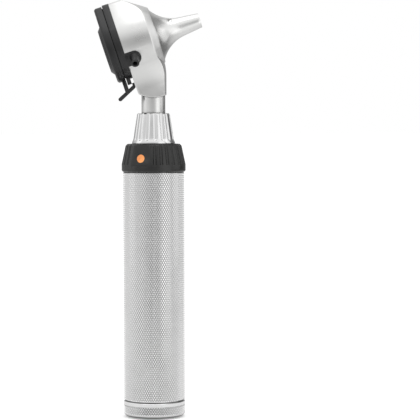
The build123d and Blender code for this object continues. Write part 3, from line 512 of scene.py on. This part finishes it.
# how bright the surroundings look in a reflection, by direction: degrees from the camera's side, + to the
# right, then the level near the horizon and the level high up
AROUND = (
    (-180, 0.42, 0.85), (-146, 0.40, 0.84), (-104, 0.60, 0.87), (-77, 0.66, 0.90), (-54, 0.62, 0.92),
    (-30, 0.48, 0.95), (-4, 0.38, 0.95), (18, 0.48, 0.95), (36, 1.20, 0.95), (58, 1.05, 0.95),
    (76, 0.28, 0.85), (104, 0.14, 0.35), (135, 0.14, 0.25), (160, 0.36, 0.55), (180, 0.42, 0.85),
)
LEVEL_LOW, LEVEL_HIGH = 1, 2  # the columns of AROUND
SKY_FROM, SKY_TO = 0.12, 0.62  # upward part of a direction over which the low level turns into the high one
REFLECTED_FLOOR = 0.68
FLOOR_NEAR, FLOOR_FAR = 0.12, 0.7  # metres out over which the reflected floor takes on AROUND's tone
FLOOR_WHITE = 0.75
FLOOR_GLOW = 0.35  # the paper lies on a lit table, so shadows stay faint
FLOOR_REACH = 12.0


def around_level(tree, x, y, column):
    """Brightness of the surroundings in the direction (x, y)."""
    back = math_node(tree, "MULTIPLY", y, -1.0)
    turn = math_node(tree, "ARCTAN2", x, back)
    share = map_range(tree, turn, 0, 1, -math.pi, math.pi)
    ramp = tree.nodes.new("ShaderNodeValToRGB")
    ramp.color_ramp.interpolation = "EASE"
    stops = ramp.color_ramp.elements
    while len(stops) < len(AROUND):
        stops.new(0.5)
    for stop, row in zip(stops, AROUND):
        stop.position = (row[0] + 180) / 360
    for stop, row in zip(stops, AROUND):
        stop.color = (row[column], row[column], row[column], 1)
    tree.links.new(share, ramp.inputs["Fac"])
    return math_node(tree, "MULTIPLY", ramp.outputs["Color"], 1.0)  # the grey as a plain value


def blend_values(tree, share, a, b):
    """a where share is 0, b where it is 1."""
    first = math_node(tree, "MULTIPLY", a, math_node(tree, "SUBTRACT", 1.0, share))
    return math_node(tree, "ADD", first, math_node(tree, "MULTIPLY", b, share))


def floor_material():
    """White paper; in reflections its far parts take the tone of the surroundings in their direction."""
    material, tree, shader = node_material("pale_floor")
    slow = object_noise(tree, 3)
    tone = map_range(tree, slow, FLOOR_WHITE - 0.01, FLOOR_WHITE + 0.01)
    place = tree.nodes.new("ShaderNodeTexCoord")
    split = tree.nodes.new("ShaderNodeSeparateXYZ")
    tree.links.new(place.outputs["Object"], split.inputs["Vector"])
    x, y = split.outputs["X"], split.outputs["Y"]
    squares = math_node(tree, "ADD", math_node(tree, "MULTIPLY", x, x), math_node(tree, "MULTIPLY", y, y))
    distance = math_node(tree, "SQRT", squares)
    far = map_range(tree, distance, 0, 1, FLOOR_NEAR, FLOOR_FAR)
    reflected = blend_values(tree, far, REFLECTED_FLOOR, around_level(tree, x, y, LEVEL_LOW))
    level = blend_values(tree, light_path(tree, "Is Glossy Ray"), tone, reflected)
    colour = tree.nodes.new("ShaderNodeCombineColor")
    for channel in ("Red", "Green", "Blue"):
        tree.links.new(level, colour.inputs[channel])
    tree.links.new(colour.outputs["Color"], shader.inputs["Base Color"])
    shader.inputs["Roughness"].default_value = 0.8
    shader.inputs["Specular IOR Level"].default_value = 0.0
    shader.inputs["Emission Color"].default_value = (1, 1, 1, 1)
    seen = math_node(tree, "SUBTRACT", 1.0, light_path(tree, "Is Glossy Ray"))
    tree.links.new(math_node(tree, "MULTIPLY", seen, FLOOR_GLOW), shader.inputs["Emission Strength"])
    return material


floor_mesh = bpy.data.meshes.new("floor")
floor_corners = [(x * FLOOR_REACH, y * FLOOR_REACH, 0) for x, y in ((-1, -1), (1, -1), (1, 1), (-1, 1))]
floor_mesh.from_pydata(floor_corners, [], [(0, 1, 2, 3)])
floor = link_object("floor", floor_mesh)
floor.data.materials.append(floor_material())


def softbox(name, place, target, width, height, radiance):
    """Soft rectangular lamp of an even brightness, whatever its size."""
    lamp = bpy.data.lights.new(name, "AREA")
    lamp.shape = "RECTANGLE"
    lamp.size, lamp.size_y = width, height
    lamp.energy = radiance * math.pi * width * height
    obj = link_object(name, lamp)
    obj.location = place
    obj.rotation_mode = "QUATERNION"
    obj.rotation_quaternion = (Vector(target) - Vector(place)).to_track_quat("-Z", "Y")


CENTRE = (0, 0, 0.11)
softbox("left_soft", (-0.9, 0.0, 0.35), CENTRE, width=0.5, height=0.8, radiance=0.35)
softbox("right_soft", (0.9, 0.0, 0.35), CENTRE, width=0.5, height=0.8, radiance=0.6)
softbox("top_soft", (0.0, 0.0, 1.3), CENTRE, width=1.2, height=1.2, radiance=0.6)


def studio_world():
    """White all round; reflections see the light and dark directions listed in AROUND."""
    world = bpy.data.worlds.new("studio")
    bpy.context.scene.world = world
    world.use_nodes = True
    tree = world.node_tree
    background = tree.nodes["Background"]
    place = tree.nodes.new("ShaderNodeTexCoord")
    split = tree.nodes.new("ShaderNodeSeparateXYZ")
    tree.links.new(place.outputs["Generated"], split.inputs["Vector"])
    low = around_level(tree, split.outputs["X"], split.outputs["Y"], LEVEL_LOW)
    high = around_level(tree, split.outputs["X"], split.outputs["Y"], LEVEL_HIGH)
    up = map_range(tree, split.outputs["Z"], 0, 1, SKY_FROM, SKY_TO)
    reflected = blend_values(tree, up, low, high)
    level = blend_values(tree, light_path(tree, "Is Glossy Ray"), 1.0, reflected)
    background.inputs["Color"].default_value = (1, 1, 1, 1)
    tree.links.new(level, background.inputs["Strength"])


studio_world()

# the camera stands a metre away, level with the neck, and looks slightly down
FOCAL = 174.5  # mm
CAMERA_AT = (0.0, -1.0, 0.1505)
PITCH, PAN, ROLL = 2.79, -1.59, 0.15  # degrees
camera_data = bpy.data.cameras.new("camera")
camera_data.lens = FOCAL
camera_data.sensor_width = 36
camera_data.clip_start = 0.1
camera_data.clip_end = 30
camera = link_object("camera", camera_data)
camera.location = CAMERA_AT
camera.rotation_euler = (math.radians(90 - PITCH), math.radians(ROLL), math.radians(PAN))
bpy.context.scene.camera = camera
bpy.context.scene.view_settings.view_transform = "Standard"
